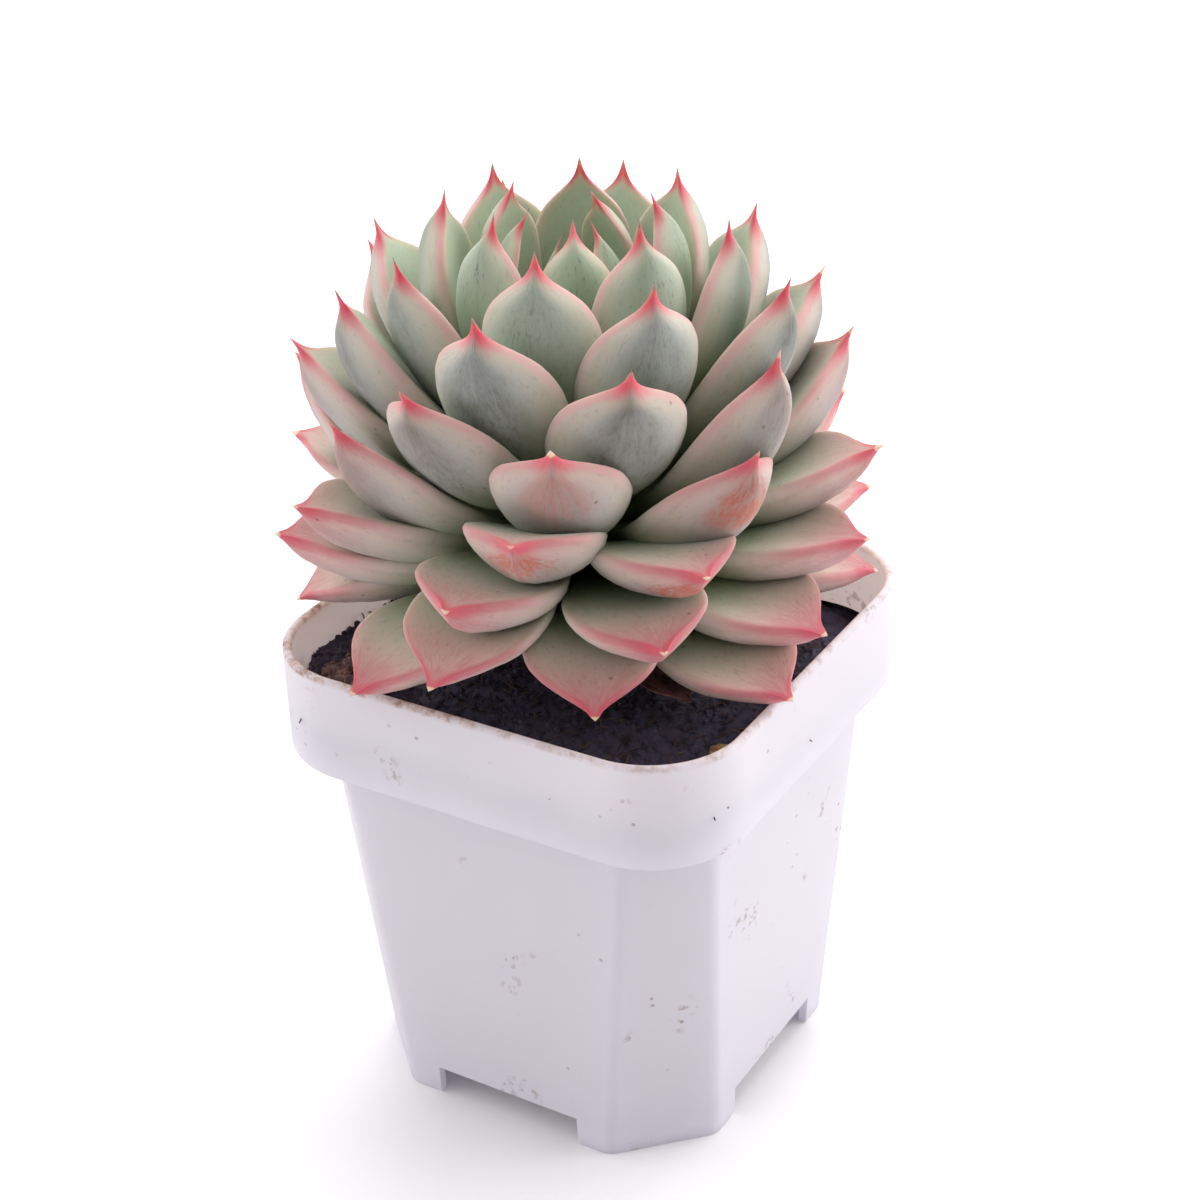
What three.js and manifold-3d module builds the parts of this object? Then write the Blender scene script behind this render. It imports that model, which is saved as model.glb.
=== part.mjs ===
// A rosette succulent in a square white plastic nursery pot.
// Units are millimetres and +Z is up. Every size is set out from the middle of the pot's feet, and at
// the end the whole thing is shifted sideways so that the origin is under the middle of its bounding box.
import * as THREE from "three";
import { mergeVertices } from "three/addons/utils/BufferGeometryUtils.js";
import Module from "manifold-3d";

// ---- fit between pieces
const GAP = 0.3; // air left between two pieces that touch
const LEAF_GAP = 0.3; // air left between two leaves that press on each other
const TOUCH_VOLUME = 0.001; // a smaller overlap of two leaves counts as none
const PRESS_ROUNDS = 2; // times the leaves are pressed apart
const BLOCK_MARGIN = 0.4; // how far a pressed flat runs past the overlap
const SPREAD_STEPS = 60; // steps that find an overlap's thin way

// ---- pot: square, with cut corners, a broad collar and four corner feet
const POT_HEIGHT = 78;
const COLLAR_WIDTH = 76; // across the flats of the collar
const COLLAR_HEIGHT = 17.2;
const COLLAR_CORNER = 15; // corner radius of the collar
const COLLAR_STEP = 4; // how far the collar stands out from the body
const BODY_TAPER = 3.3; // how far each side leans in from the collar down to the feet
const BODY_TOP_CHAMFER = 9.8; // how much of each side the cut corner takes
const BODY_BASE_CHAMFER = 12.4;
const BODY_EDGE_RADIUS = 3; // rounding where a flat side meets a cut corner
const WALL = 1.4;
const LIP_ROUND = 0.6;
const FOOT_HEIGHT = 5.3; // height of the notches between the feet
const NOTCH_WIDTH = 25.6;
const FLOOR_THICKNESS = 1.5;
const CENTRE_HOLE = 9; // drainage hole in the middle of the floor
const SIDE_HOLE = 6; // the four holes round it
const SIDE_HOLE_RADIUS = 14; // how far out they sit
const CORNER_POINTS = 8; // points that draw one corner of a section

// ---- soil
const SOIL_DROP = 10; // how far under the lip the soil meets the wall
const SOIL_CROWN = 5; // how much higher it meets the stem
const SOIL_RINGS = 4;

// ---- plant: the stem, and the rule that places each leaf
const PLANT_X = -2; // the plant stands a little off the pot's middle
const HUB_RISE = 12; // leaf tips are placed round a point of the stem this far over the lip
const STEM_DEPTH = 18; // how far under the lip the stem ends, in the soil
const STEM_TAPER_RISE = 6; // how far over the lip it starts to narrow
const STEM_FOOT_RADIUS = 7.6;
const STEM_TOP_RADIUS = 1.8;
const NECK_CLEARANCE = 1.2; // air between the stem and the leaves' blunt necks
const CORE_STEPS = 6;
const CORE_SIDES = 16;
const LEAF_COUNT = 69;
const HEART_LEAVES = 15; // the youngest leaves, still one bud
const FIRST_TURN = 263; // compass direction of the youngest leaf, in degrees from +X
const TURN_STEP = -136.5; // each older leaf stands this much further round
const FIRST_LEAN = 1.5; // angle of the youngest tip from upright, in degrees
const LEAN_STEP = 1.52; // each older leaf leans out this much more
const HEART_REACH = 47.6; // hub to tip, for the youngest leaf
const SHOULDER_REACH = 56; // for the leaves of the shoulder, the longest
const OUTER_REACH = 45.7; // for the lowest leaves
const HEART_LAST = 12; // leaf where the reach has grown to the shoulder's
const SHOULDER_LAST = 14; // leaf where it starts to fall
const OUTER_FIRST = 60; // leaf where it has fallen to the outer reach
const NECK_RISE = 30; // how far over the lip the youngest leaf grows
const NECK_STEP = 0.38; // each older leaf grows this much lower

// ---- one leaf
const LEAF_WIDTH = 19.2; // a full-grown leaf
const BUD_WIDTH = 3; // the youngest leaf
const GROWTH = 7; // leaves it takes to come two thirds of the way to full width
const THICKNESS_SHARE = 0.3; // thickest part, as a share of the width
const CUP = 0.16; // how far the margins rise, as a share of the half width
const CROWN = 0.12; // bulge of the upper face, as a share of the thickness
const FIRST_BEND = 0.17; // how far the youngest leaf bows outwards, as a share of its length
const BEND_STEP = 0.0036; // each older leaf is this much straighter
const BEND_PER_LIFT = 0.014; // a leaf whose tip is lifted a degree bows this much more
// half width and thickness along a leaf, from its neck at 0 to its tip at 1
const OUTLINE = [
  [0, 0.34], [0.12, 0.38], [0.25, 0.54], [0.4, 0.8], [0.53, 0.96], [0.64, 1],
  [0.73, 0.95], [0.8, 0.82], [0.86, 0.58], [0.9, 0.34], [0.95, 0.09], [1, 0],
];
const DEPTH = [
  [0, 0.42], [0.25, 0.62], [0.5, 0.95], [0.64, 1], [0.77, 0.92], [0.85, 0.72], [0.9, 0.46], [0.95, 0.11], [1, 0],
];
const STATIONS = [0, 0, 0.2, 0.4, 0.57, 0.72, 0.83, 0.91, 1]; // where the sections are drawn
const LEAF_SIDES = 8;
const BUD_CORE_RISE = 1; // the growing tip's core rises this far over the youngest neck
const BUD_CORE_GROWTH = 0.4; // and is this much wider than the necks' circle

// Leaves that grew out of line: degrees round the stem, degrees upwards, extra reach and extra bend.
const HABITS = {
  0: { turn: -5 },
  1: { turn: 7, lift: 2, reach: -3 },
  4: { turn: 6, lift: 2 },
  5: { turn: 5 },
  6: { turn: 7 },
  16: { lift: -3 },
  19: { turn: 3, lift: -2 },
  23: { turn: 3, reach: 1 },
  31: { lift: 5 },
  34: { turn: -5, lift: 2 },
  36: { turn: 3, lift: 4 },
  37: { turn: -5, lift: 4 },
  39: { turn: -2, lift: 5 },
  40: { turn: -3, lift: 5 },
  42: { bend: -0.02 },
  47: { turn: -4, bend: -0.045 },
  48: { turn: 2, lift: -2 },
  49: { lift: 3 },
  53: { lift: 2 },
  58: { turn: 8, lift: -4 },
  60: { turn: -3 },
  61: { turn: 1, lift: -6, reach: -2 },
  63: { lift: -3, reach: -3 },
  68: { lift: 3, reach: 1 },
};

// ---- small loose pieces on the soil
const WITHERED_TURN = 331; // compass direction of the dried leaf
const WITHERED_NECK_RISE = 1; // over the lip
const WITHERED_TIP_RISE = -2.5;
const WITHERED_REACH = 31;
const WITHERED_WIDTH = 9;
const WITHERED_THICKNESS = 1.4;
const WITHERED_BEND = 0.03;
const CHIP_SIZE = [4.6, 3, 1.8]; // a chip of bark by the front corner of the pot
const CHIP_PLACE = [31.2, -17.6]; // where it lies
const CHIP_TURN = 35;

// ---- colours
const COLOURS = {
  pot: { color: 0xf1eef2, roughness: 0.35, metalness: 0 },
  soil: { color: 0x2b211f, roughness: 0.95, metalness: 0 },
  stem: { color: 0x9a8a6a, roughness: 0.8, metalness: 0 },
  leaf: { color: 0xa9bfae, roughness: 0.5, metalness: 0 },
  withered: { color: 0x6a4a55, roughness: 0.8, metalness: 0 },
  bark: { color: 0xb98a62, roughness: 0.9, metalness: 0 },
};

// ---- heights and widths that follow from the sizes above
const collarFoot = POT_HEIGHT - COLLAR_HEIGHT;
const floorTop = FOOT_HEIGHT + FLOOR_THICKNESS;
const bodyTopWidth = COLLAR_WIDTH - 2 * COLLAR_STEP;
const bodyBaseWidth = bodyTopWidth - 2 * BODY_TAPER;
const soilEdge = POT_HEIGHT - SOIL_DROP;
const stemFoot = POT_HEIGHT - STEM_DEPTH;
const neckTop = POT_HEIGHT + NECK_RISE;
const heartFoot = neckTop - NECK_STEP * HEART_LEAVES;

const wasm = await Module();
wasm.setup();

// ---- solids
function solid(geometry) {
  const bare = geometry.clone();
  bare.deleteAttribute("normal");
  bare.deleteAttribute("uv");
  const merged = mergeVertices(bare, 1e-4);
  return new wasm.Manifold(new wasm.Mesh({
    numProp: 3,
    vertProperties: new Float32Array(merged.attributes.position.array),
    triVerts: new Uint32Array(merged.index.array),
  }));
}

function geometryOf(made) {
  const mesh = made.getMesh();
  const geometry = new THREE.BufferGeometry();
  const points = new Float32Array(mesh.numVert * 3);
  for (let i = 0; i < mesh.numVert; i++) {
    points.set(mesh.vertProperties.subarray(i * mesh.numProp, i * mesh.numProp + 3), i * 3);
  }
  geometry.setAttribute("position", new THREE.BufferAttribute(points, 3));
  geometry.setIndex(new THREE.BufferAttribute(new Uint32Array(mesh.triVerts), 1));
  return geometry;
}

function box(width, depth, height, centre) {
  return solid(new THREE.BoxGeometry(width, depth, height).translate(centre.x, centre.y, centre.z));
}

function largest(made) {
  return made.decompose().sort((a, b) => b.volume() - a.volume())[0];
}

// A smooth run through hand-set points, read at one value.
function through(points, at) {
  let i = 0;
  while (i < points.length - 2 && at > points[i + 1][0]) i++;
  const slope = (k) => {
    const before = points[Math.max(k - 1, 0)];
    const after = points[Math.min(k + 1, points.length - 1)];
    return (after[1] - before[1]) / (after[0] - before[0]);
  };
  const span = points[i + 1][0] - points[i][0];
  const t = (at - points[i][0]) / span;
  const t2 = t * t;
  const t3 = t2 * t;
  return (2 * t3 - 3 * t2 + 1) * points[i][1] + (t3 - 2 * t2 + t) * span * slope(i)
    + (3 * t2 - 2 * t3) * points[i + 1][1] + (t3 - t2) * span * slope(i + 1);
}

// A closed skin over a stack of rings with equal numbers of points, each end closed on a middle point.
function loft(rings) {
  const count = rings[0].length;
  const points = rings.flat();
  const faces = [];
  for (let r = 0; r + 1 < rings.length; r++) {
    for (let i = 0; i < count; i++) {
      const a = r * count + i;
      const b = r * count + ((i + 1) % count);
      faces.push(a, b, b + count, a, b + count, a + count);
    }
  }
  for (const [ring, turned] of [[0, true], [rings.length - 1, false]]) {
    const middle = new THREE.Vector3();
    rings[ring].forEach((p) => middle.addScaledVector(p, 1 / count));
    points.push(middle);
    for (let i = 0; i < count; i++) {
      const a = ring * count + i;
      const b = ring * count + ((i + 1) % count);
      faces.push(...(turned ? [b, a, points.length - 1] : [a, b, points.length - 1]));
    }
  }
  const geometry = new THREE.BufferGeometry().setFromPoints(points);
  geometry.setIndex(faces);
  return geometry;
}

// ---- pot
// The collar's section: a square with round corners.
function collarRing(inset, z) {
  const half = COLLAR_WIDTH / 2 - inset;
  const radius = COLLAR_CORNER - inset;
  const ring = [];
  for (let corner = 0; corner < 4; corner++) {
    const facing = (corner + 0.5) * (Math.PI / 2);
    const x = (half - radius) * Math.sign(Math.cos(facing));
    const y = (half - radius) * Math.sign(Math.sin(facing));
    for (let i = 0; i < CORNER_POINTS; i++) {
      const angle = (corner + i / (CORNER_POINTS - 1)) * (Math.PI / 2);
      ring.push(new THREE.Vector3(x + radius * Math.cos(angle), y + radius * Math.sin(angle), z));
    }
  }
  return ring;
}

// The body's section at a height: a square with cut corners, its edges rounded.
function bodyRing(inset, z) {
  const up = z / (POT_HEIGHT - COLLAR_HEIGHT);
  const half = THREE.MathUtils.lerp(bodyBaseWidth, bodyTopWidth, up) / 2 - inset;
  const chamfer = THREE.MathUtils.lerp(BODY_BASE_CHAMFER, BODY_TOP_CHAMFER, up) - inset * (2 - Math.SQRT2);
  const radius = Math.max(BODY_EDGE_RADIUS - inset, 0.5);
  const setback = radius * Math.tan(Math.PI / 8);
  const perEdge = CORNER_POINTS / 2;
  const ring = [];
  for (let corner = 0; corner < 4; corner++) {
    for (let edge = 0; edge < 2; edge++) {
      const side = (corner + edge) * (Math.PI / 2); // the flat side this edge belongs to
      const away = edge === 0 ? 1 : -1; // which end of that side
      const outward = new THREE.Vector2(Math.cos(side), Math.sin(side));
      const along = new THREE.Vector2(-outward.y, outward.x).multiplyScalar(away);
      const middle = outward.clone().multiplyScalar(half - radius);
      middle.addScaledVector(along, half - chamfer - setback);
      const from = side + (edge === 0 ? 0 : -Math.PI / 4);
      for (let i = 0; i < perEdge; i++) {
        const angle = from + (i / (perEdge - 1)) * (Math.PI / 4);
        ring.push(new THREE.Vector3(middle.x + radius * Math.cos(angle), middle.y + radius * Math.sin(angle), z));
      }
    }
  }
  return ring;
}

function pot() {
  const shell = solid(loft([
    bodyRing(WALL, FOOT_HEIGHT),
    bodyRing(WALL, 0),
    bodyRing(0, 0),
    bodyRing(0, collarFoot),
    collarRing(0, collarFoot),
    collarRing(0, POT_HEIGHT - LIP_ROUND),
    collarRing(LIP_ROUND, POT_HEIGHT),
    collarRing(WALL - LIP_ROUND, POT_HEIGHT),
    collarRing(WALL, POT_HEIGHT - LIP_ROUND),
    collarRing(WALL, collarFoot + WALL),
    bodyRing(WALL, collarFoot),
    bodyRing(WALL, floorTop),
  ]));
  const across = COLLAR_WIDTH + 2 * WALL;
  const notchMiddle = new THREE.Vector3(0, 0, FOOT_HEIGHT / 2 - GAP);
  let made = shell
    .subtract(box(across, NOTCH_WIDTH, FOOT_HEIGHT + 2 * GAP, notchMiddle))
    .subtract(box(NOTCH_WIDTH, across, FOOT_HEIGHT + 2 * GAP, notchMiddle));
  made = made.subtract(drain(CENTRE_HOLE, 0, 0));
  for (let i = 0; i < 4; i++) {
    const angle = (i + 0.5) * (Math.PI / 2);
    made = made.subtract(drain(SIDE_HOLE, SIDE_HOLE_RADIUS * Math.cos(angle), SIDE_HOLE_RADIUS * Math.sin(angle)));
  }
  return made;
}

function drain(width, x, y) {
  const hole = new THREE.CylinderGeometry(width / 2, width / 2, 4 * FLOOR_THICKNESS, 16);
  return solid(hole.rotateX(Math.PI / 2).translate(x, y, FOOT_HEIGHT + FLOOR_THICKNESS / 2));
}

// ---- soil
// The soil's height, from its edge at 0 to its middle at 1.
function soilHeight(inwards) {
  return soilEdge + Math.sin(inwards * (Math.PI / 2)) * SOIL_CROWN;
}

// The soil's upper side as rings that shrink to the middle, raised by some height.
function soilRings(inset, raise) {
  const rings = [];
  for (let i = 0; i <= SOIL_RINGS; i++) {
    const inwards = i / (SOIL_RINGS + 1);
    const shrink = new THREE.Vector3(1 - inwards, 1 - inwards, 1);
    rings.push(collarRing(inset, soilHeight(inwards) + raise).map((p) => p.multiply(shrink)));
  }
  return rings;
}

function soil() {
  const inset = WALL + GAP;
  const lump = solid(loft([
    bodyRing(inset, floorTop + GAP),
    bodyRing(inset, collarFoot + GAP),
    collarRing(inset, collarFoot + WALL + 2 * GAP),
    ...soilRings(inset, 0),
  ]));
  return lump.subtract(core(stemFoot - GAP, POT_HEIGHT, NECK_CLEARANCE - GAP));
}

// What the leaves keep out of: the collar's wall and the soil, both with the gap round them.
function bed() {
  const wall = solid(loft([collarRing(-GAP, collarFoot), collarRing(-GAP, POT_HEIGHT + GAP)]));
  const inside = solid(loft([collarRing(WALL + GAP, collarFoot - GAP), collarRing(WALL + GAP, POT_HEIGHT + 2 * GAP)]));
  const ground = solid(loft([collarRing(WALL, collarFoot + WALL), ...soilRings(WALL, GAP)]));
  return wall.subtract(inside).add(ground);
}

// ---- stem
// How far from the plant's axis a leaf's neck starts, at a height on the stem.
function neckRadius(z) {
  const up = THREE.MathUtils.smoothstep(z, POT_HEIGHT + STEM_TAPER_RISE, neckTop);
  return THREE.MathUtils.lerp(STEM_FOOT_RADIUS, STEM_TOP_RADIUS, up);
}

// A round core between two heights, standing off the leaves' necks by a clearance.
function core(fromZ, toZ, clearance) {
  const profile = [new THREE.Vector2(0, fromZ)];
  for (let i = 0; i <= CORE_STEPS; i++) {
    const z = THREE.MathUtils.lerp(fromZ, toZ, i / CORE_STEPS);
    profile.push(new THREE.Vector2(neckRadius(z) - clearance, z));
  }
  profile.push(new THREE.Vector2(0, toZ));
  const geometry = new THREE.LatheGeometry(profile, CORE_SIDES);
  return solid(geometry.rotateX(Math.PI / 2).translate(PLANT_X, 0, 0));
}

function stem() {
  return core(stemFoot, heartFoot - GAP, NECK_CLEARANCE);
}

// ---- leaves
function reachOf(n) {
  const young = Math.max(0, 1 - n / HEART_LAST);
  const old = THREE.MathUtils.smoothstep(n, SHOULDER_LAST, OUTER_FIRST);
  return SHOULDER_REACH - (SHOULDER_REACH - HEART_REACH) * young ** 2 - (SHOULDER_REACH - OUTER_REACH) * old;
}

// What a leaf is, from its age: 0 is the youngest.
function leafOf(n) {
  const habit = { turn: 0, lift: 0, reach: 0, bend: 0, ...HABITS[n] };
  const turn = THREE.MathUtils.degToRad(FIRST_TURN + TURN_STEP * n + habit.turn);
  const lean = THREE.MathUtils.degToRad(FIRST_LEAN + LEAN_STEP * n - habit.lift);
  const reach = reachOf(n) + habit.reach;
  const neckZ = neckTop - NECK_STEP * n;
  const width = BUD_WIDTH + (LEAF_WIDTH - BUD_WIDTH) * (1 - Math.exp(-n / GROWTH));
  return {
    turn,
    width,
    thickness: width * THICKNESS_SHARE,
    bend: FIRST_BEND - BEND_STEP * n + BEND_PER_LIFT * habit.lift + habit.bend,
    neck: [neckRadius(neckZ), neckZ], // radius and height
    tip: [reach * Math.sin(lean), POT_HEIGHT + HUB_RISE + reach * Math.cos(lean)],
  };
}

// The leaf's middle line, in the upright plane it grows in.
function midrib(leaf) {
  const [r0, z0] = leaf.neck;
  const [r1, z1] = leaf.tip;
  const bow = leaf.bend * Math.hypot(r1 - r0, z1 - z0);
  const outwards = new THREE.Vector2(z1 - z0, r0 - r1).normalize();
  const flat = (r, z) => new THREE.Vector3(
    PLANT_X + r * Math.cos(leaf.turn),
    r * Math.sin(leaf.turn),
    z,
  );
  const middle = flat((r0 + r1) / 2 + 2 * bow * outwards.x, (z0 + z1) / 2 + 2 * bow * outwards.y);
  return new THREE.QuadraticBezierCurve3(flat(r0, z0), middle, flat(r1, z1));
}

// A sphere drawn out into a leaf: its poles are the neck and the tip.
function leafSolid(leaf) {
  const geometry = new THREE.SphereGeometry(1, LEAF_SIDES, STATIONS.length - 1);
  const line = midrib(leaf);
  const sideways = new THREE.Vector3(-Math.sin(leaf.turn), Math.cos(leaf.turn), 0);
  const place = geometry.attributes.position;
  const p = new THREE.Vector3();
  for (let i = 0; i < place.count; i++) {
    p.fromBufferAttribute(place, i);
    const row = Math.round((Math.acos(THREE.MathUtils.clamp(p.y, -1, 1)) / Math.PI) * (STATIONS.length - 1));
    const along = STATIONS[row];
    const atPole = row === 0 || row === STATIONS.length - 1;
    const radius = atPole ? 1 : Math.hypot(p.x, p.z);
    const cos = atPole ? 0 : p.x / radius;
    const sin = atPole ? 0 : p.z / radius;
    const half = (leaf.width / 2) * through(OUTLINE, along);
    const depth = leaf.thickness * through(DEPTH, along);
    const rise = CUP * half * cos * cos + depth * sin * (sin > 0 ? CROWN : 1);
    const up = new THREE.Vector3().crossVectors(sideways, line.getTangent(along));
    const q = line.getPoint(along).addScaledVector(sideways, half * cos).addScaledVector(up, -rise);
    place.setXYZ(i, q.x, q.y, q.z);
  }
  return solid(geometry);
}

// ---- leaves that press on each other
// The thin way through a body: the direction in which its points spread least.
function thinnest(points, middle) {
  const spread = new THREE.Matrix3().set(0, 0, 0, 0, 0, 0, 0, 0, 0);
  const d = new THREE.Vector3();
  for (const p of points) {
    d.subVectors(p, middle);
    const v = [d.x, d.y, d.z];
    for (let i = 0; i < 3; i++) {
      for (let j = 0; j < 3; j++) spread.elements[3 * i + j] += v[i] * v[j];
    }
  }
  const most = spread.elements[0] + spread.elements[4] + spread.elements[8];
  const way = new THREE.Vector3(1, 2, 3).normalize();
  for (let i = 0; i < SPREAD_STEPS; i++) {
    const pulled = way.clone().applyMatrix3(spread);
    way.multiplyScalar(most).sub(pulled).normalize();
  }
  return way;
}

// A block that covers a lens-shaped overlap on one side of its middle plane.
function halfBlock(points, middle, way, side) {
  const turn = new THREE.Quaternion().setFromUnitVectors(new THREE.Vector3(0, 0, 1), way);
  const back = turn.clone().invert();
  const reach = new THREE.Vector3();
  for (const p of points) {
    const q = p.clone().sub(middle).applyQuaternion(back);
    reach.max(new THREE.Vector3(Math.abs(q.x), Math.abs(q.y), Math.abs(q.z)));
  }
  const deep = reach.z + BLOCK_MARGIN;
  const geometry = new THREE.BoxGeometry(2 * (reach.x + BLOCK_MARGIN), 2 * (reach.y + BLOCK_MARGIN), deep);
  geometry.translate(0, 0, side * (deep / 2 - LEAF_GAP / 2));
  return solid(geometry.applyQuaternion(turn).translate(middle.x, middle.y, middle.z));
}

// Where two leaves press on each other, both are flattened to a shared plane with a gap.
function press(pieces, a, b) {
  const common = pieces[a].made.intersect(pieces[b].made);
  if (common.volume() < TOUCH_VOLUME) return;
  for (const lens of common.decompose()) {
    const place = geometryOf(lens).attributes.position;
    const points = [...Array(place.count).keys()].map((i) => new THREE.Vector3().fromBufferAttribute(place, i));
    const middle = new THREE.Vector3();
    points.forEach((p) => middle.addScaledVector(p, 1 / points.length));
    const way = thinnest(points, middle);
    const ahead = halfBlock(points, middle, way, 1);
    const behind = halfBlock(points, middle, way, -1);
    const lead = (piece) => piece.made.intersect(ahead).volume() - piece.made.intersect(behind).volume();
    const aIsAhead = lead(pieces[a]) > lead(pieces[b]);
    pieces[a].made = largest(pieces[a].made.subtract(aIsAhead ? behind : ahead));
    pieces[b].made = largest(pieces[b].made.subtract(aIsAhead ? ahead : behind));
  }
}

function plant() {
  const solids = [];
  for (let n = 0; n < LEAF_COUNT; n++) solids.push(leafSolid(leafOf(n)));
  let heart = core(heartFoot, neckTop + BUD_CORE_RISE, -BUD_CORE_GROWTH);
  for (const young of solids.slice(0, HEART_LEAVES)) heart = heart.add(young);
  const pieces = [{ name: "heart", look: "leaf", made: heart }];
  for (let n = HEART_LEAVES; n < LEAF_COUNT; n++) {
    const number = String(n - HEART_LEAVES + 1).padStart(2, "0");
    pieces.push({ name: `leaf_${number}`, look: "leaf", made: solids[n] });
  }
  pieces.push({ name: "withered_leaf", look: "withered", made: witheredLeaf() });
  for (let round = 0; round < PRESS_ROUNDS; round++) {
    for (let a = 0; a < pieces.length; a++) {
      for (let b = a + 1; b < pieces.length; b++) press(pieces, a, b);
    }
  }
  const ground = bed();
  for (const piece of pieces) piece.made = largest(piece.made.subtract(ground));
  pieces.push({ name: "stem", look: "stem", made: stem() });
  return pieces;
}

function witheredLeaf() {
  return leafSolid({
    turn: THREE.MathUtils.degToRad(WITHERED_TURN),
    width: WITHERED_WIDTH,
    thickness: WITHERED_THICKNESS,
    bend: WITHERED_BEND,
    neck: [neckRadius(POT_HEIGHT + WITHERED_NECK_RISE), POT_HEIGHT + WITHERED_NECK_RISE],
    tip: [WITHERED_REACH, POT_HEIGHT + WITHERED_TIP_RISE],
  });
}

// ---- bark chip, lying on the soil
function barkChip() {
  const [length, width, thickness] = CHIP_SIZE;
  const [x, y] = CHIP_PLACE;
  const geometry = new THREE.IcosahedronGeometry(0.5, 0).scale(length, width, thickness);
  const inwards = 1 - Math.max(Math.abs(x), Math.abs(y)) / (COLLAR_WIDTH / 2 - WALL - GAP);
  const soilZ = soilHeight(inwards + length / COLLAR_WIDTH);
  geometry.rotateZ(THREE.MathUtils.degToRad(CHIP_TURN));
  return solid(geometry.translate(x, y, soilZ + thickness / 2));
}

const pieces = [
  { name: "pot", look: "pot", made: pot() },
  { name: "soil", look: "soil", made: soil() },
  { name: "bark_chip", look: "bark", made: barkChip() },
  ...plant(),
];
const object = new THREE.Group();
for (const piece of pieces) {
  const mesh = new THREE.Mesh(geometryOf(piece.made), new THREE.MeshStandardMaterial(COLOURS[piece.look]));
  mesh.name = piece.name;
  object.add(mesh);
}
const middle = new THREE.Box3().setFromObject(object).getCenter(new THREE.Vector3());
for (const mesh of object.children) mesh.position.set(-middle.x, -middle.y, 0);

export default object;
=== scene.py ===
import math
import random

import bmesh
import bpy
from bpy.props import FloatProperty, FloatVectorProperty, IntProperty, PointerProperty
from mathutils import Matrix, Vector, noise


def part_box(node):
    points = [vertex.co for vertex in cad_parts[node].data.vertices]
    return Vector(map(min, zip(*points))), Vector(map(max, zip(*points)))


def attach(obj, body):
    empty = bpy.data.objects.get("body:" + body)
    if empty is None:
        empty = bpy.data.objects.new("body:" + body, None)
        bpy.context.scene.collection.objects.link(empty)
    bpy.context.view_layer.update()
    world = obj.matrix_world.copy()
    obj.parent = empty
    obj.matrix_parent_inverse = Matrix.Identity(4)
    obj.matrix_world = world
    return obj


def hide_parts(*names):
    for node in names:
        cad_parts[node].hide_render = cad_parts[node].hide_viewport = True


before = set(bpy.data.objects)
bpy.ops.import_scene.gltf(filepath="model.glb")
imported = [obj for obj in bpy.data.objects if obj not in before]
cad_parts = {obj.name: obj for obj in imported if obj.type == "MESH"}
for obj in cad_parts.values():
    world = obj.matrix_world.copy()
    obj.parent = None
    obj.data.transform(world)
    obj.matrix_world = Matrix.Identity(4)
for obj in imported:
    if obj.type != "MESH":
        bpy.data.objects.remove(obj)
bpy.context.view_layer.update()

bl_info = {
    "name": "Potted Rosette Succulent",
    "version": (1, 0, 0),
    "blender": (4, 5, 0),
    "location": "3D View > Sidebar > Succulent",
    "description": "Builds a rosette succulent in a square nursery pot",
    "category": "Object",
}

MM = 0.001
POT_LOW, POT_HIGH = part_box("pot")
POT_MIDDLE = Vector(((POT_LOW.x + POT_HIGH.x) / 2, (POT_LOW.y + POT_HIGH.y) / 2, 0))

# Leaves that grew out of line: degrees round the stem, degrees upwards, extra reach in millimetres.
HABITS = {
    0: (-5, 0, 0), 1: (7, 2, -3), 4: (6, 2, 0), 5: (5, 0, 0), 6: (7, 0, 0), 16: (0, -3, 0),
    19: (3, -2, 0), 23: (3, 0, 1), 31: (0, 5, 0), 34: (-5, 2, 0), 36: (3, 4, 0), 37: (-5, 4, 0),
    39: (-2, 5, 0), 40: (-3, 5, 0), 47: (-4, 0, 0), 48: (2, -2, 0), 49: (0, 3, 0), 53: (0, 2, 0),
    58: (8, -4, 0), 60: (-3, 0, 0), 61: (1, -6, -2), 63: (0, -3, -3), 68: (0, 3, 1),
}

# Leaves that arch over, so that their ends face outwards: less bow, as a share of the length.
BOWED = {42: -0.02, 47: -0.045}

# Leaves with a dried tip, and leaves with a scar under the tip: how strong it is.
DRIED_TIPS = {28: 1.0, 31: 0.6, 34: 1.0, 36: 0.6, 44: 1.0, 48: 1.0, 57: 0.6}
SCARS = {34: 0.35, 39: 0.9, 42: 1.0, 47: 1.0, 44: 0.4}

# The rule that places the leaves: millimetres and degrees, and steps from one leaf to the next older one.
FIRST_TURN = 263
TURN_STEP = 136.5
FIRST_LEAN = 1.5
LEAN_STEP = 1.52
FULL_REACH = 56
BUD_SHORTER = 8.4
BUD_LEAVES = 12
OLD_SHORTER = 10.3
OLD_FROM, OLD_TO = 14, 60
FIRST_BEND = 0.17
BEND_STEP = 0.0036
BEND_PER_LIFT = 0.014
LEAVES_TO_WIDEN = 7

# The stem that the necks stand on, in millimetres.
STEM_FOOT, STEM_TOP = 84, 108
STEM_FOOT_RADIUS, STEM_TOP_RADIUS = 7.6, 1.8
NECK_STEP = 0.38
BUD_CORE_FOOT, BUD_CORE_HEIGHT = 102.3, 6.7

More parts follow.
